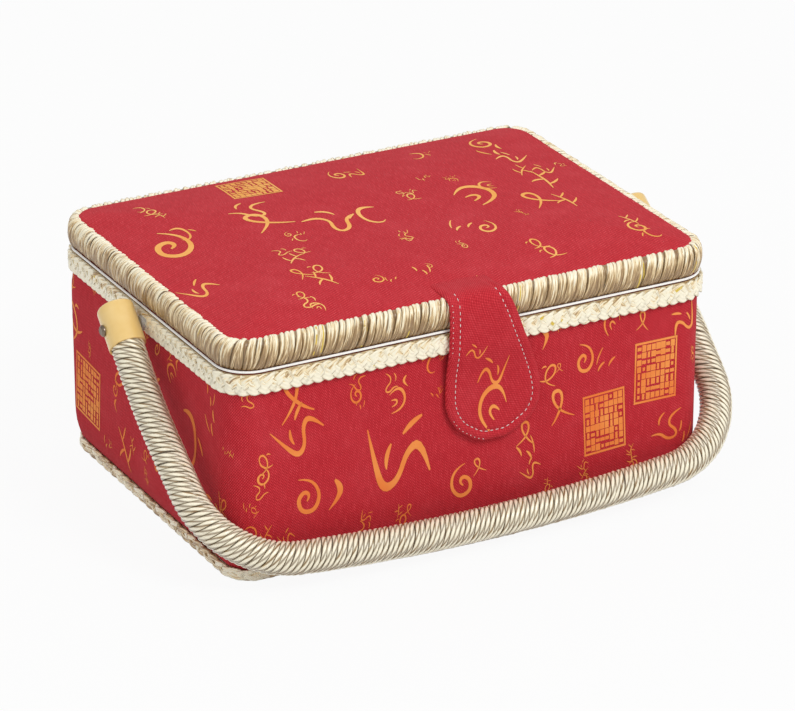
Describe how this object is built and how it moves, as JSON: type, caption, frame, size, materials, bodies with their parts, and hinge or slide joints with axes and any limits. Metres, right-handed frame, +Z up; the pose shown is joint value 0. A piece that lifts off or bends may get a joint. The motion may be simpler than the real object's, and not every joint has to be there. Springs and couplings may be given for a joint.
{
  "type": "sewing box",
  "caption": "Cloth-covered rectangular sewing box with hinged padded lid, cloth latch tab, plaited trims, lift-out tray and swinging wound carry handle.",
  "frame": {"origin": "middle of the base on the table", "axes": "+Z up, -Y to the front with the latch tab, X along the width"},
  "size_m": [0.3142, 0.2213, 0.1321],
  "materials": {
    "printed_cotton": "red plain-weave cotton printed in orange",
    "tab_cotton": "red cotton, top-stitched in white",
    "lining_cloth": "plain red lining cotton",
    "base_cloth": "plain red cotton",
    "straw_braid": "flat plait of glossy straw fibre",
    "straw_cord": "twisted straw cord, silky",
    "card": "grey-brown pressed card",
    "foam": "white wadding",
    "white_piping": "white cotton piping",
    "hinge_tape": "red woven tape",
    "elastic": "woven elastic",
    "cream_plastic": "cream-yellow moulded plastic, satin",
    "clear_plastic": "clear flexible plastic tube",
    "rivet_steel": "dark plated steel",
    "magnet_steel": "nickel plated",
    "core_plastic": "cream plastic tube",
    "tray_plastic": "ivory moulded plastic"
  },
  "bodies": {
    "root": {"wall_board": "card", "floor_board": "card", "body_cover": "printed_cotton", "wall_lining": "lining_cloth", "floor_lining": "lining_cloth", "base_cloth": "base_cloth", "base_braid": "straw_braid", "rim_braid": "straw_braid", "catch_plate": "magnet_steel", "tray_ledges": "card", "hinge_tape_body": "hinge_tape", "pivot_rivets": "rivet_steel", "rivet_washers": "rivet_steel", "spacer_tubes": "clear_plastic"},
    "lid": {"lid_board": "card", "lid_rim_board": "card", "lid_pad": "foam", "lid_cover": "printed_cotton", "lid_band": "straw_cord", "lid_piping": "white_piping", "lid_lining": "lining_cloth", "pincushion": "lining_cloth", "lid_pocket": "lining_cloth", "pocket_elastic": "elastic", "hinge_tape_lid": "hinge_tape", "tab_root": "tab_cotton"},
    "latch_tab": {"tab_cloth": "tab_cotton", "tab_magnet": "magnet_steel"},
    "handle": {"handle_core": "core_plastic", "handle_winding": "straw_cord", "end_sockets": "cream_plastic"},
    "tray": {"tray": "tray_plastic"}
  },
  "joints": [
    {"name": "lid_hinge", "type": "hinge", "parent": "root", "child": "lid", "pos_m": [0, 0.0967, 0.1096], "axis": [-1, 0, 0], "range_deg": [0, 100]},
    {"name": "latch_tab_lift", "type": "hinge", "parent": "lid", "child": "latch_tab", "pos_m": [0, -0.0986, 0.1263], "axis": [-1, 0, 0], "range_deg": [0, 110]},
    {"name": "handle_swing", "type": "hinge", "parent": "root", "child": "handle", "pos_m": [0, -0.0035, 0.104], "axis": [-1, 0, 0], "range_deg": [-0.8, 250]},
    {"name": "tray_lift", "type": "slide", "parent": "root", "child": "tray", "axis": [0, 0, 1], "range_m": [0, 0.042]}
  ],
  "couplings": [
    {"joint": "tray_lift", "follows": "lid_hinge", "m_per_rad": 0.023}
  ]
}
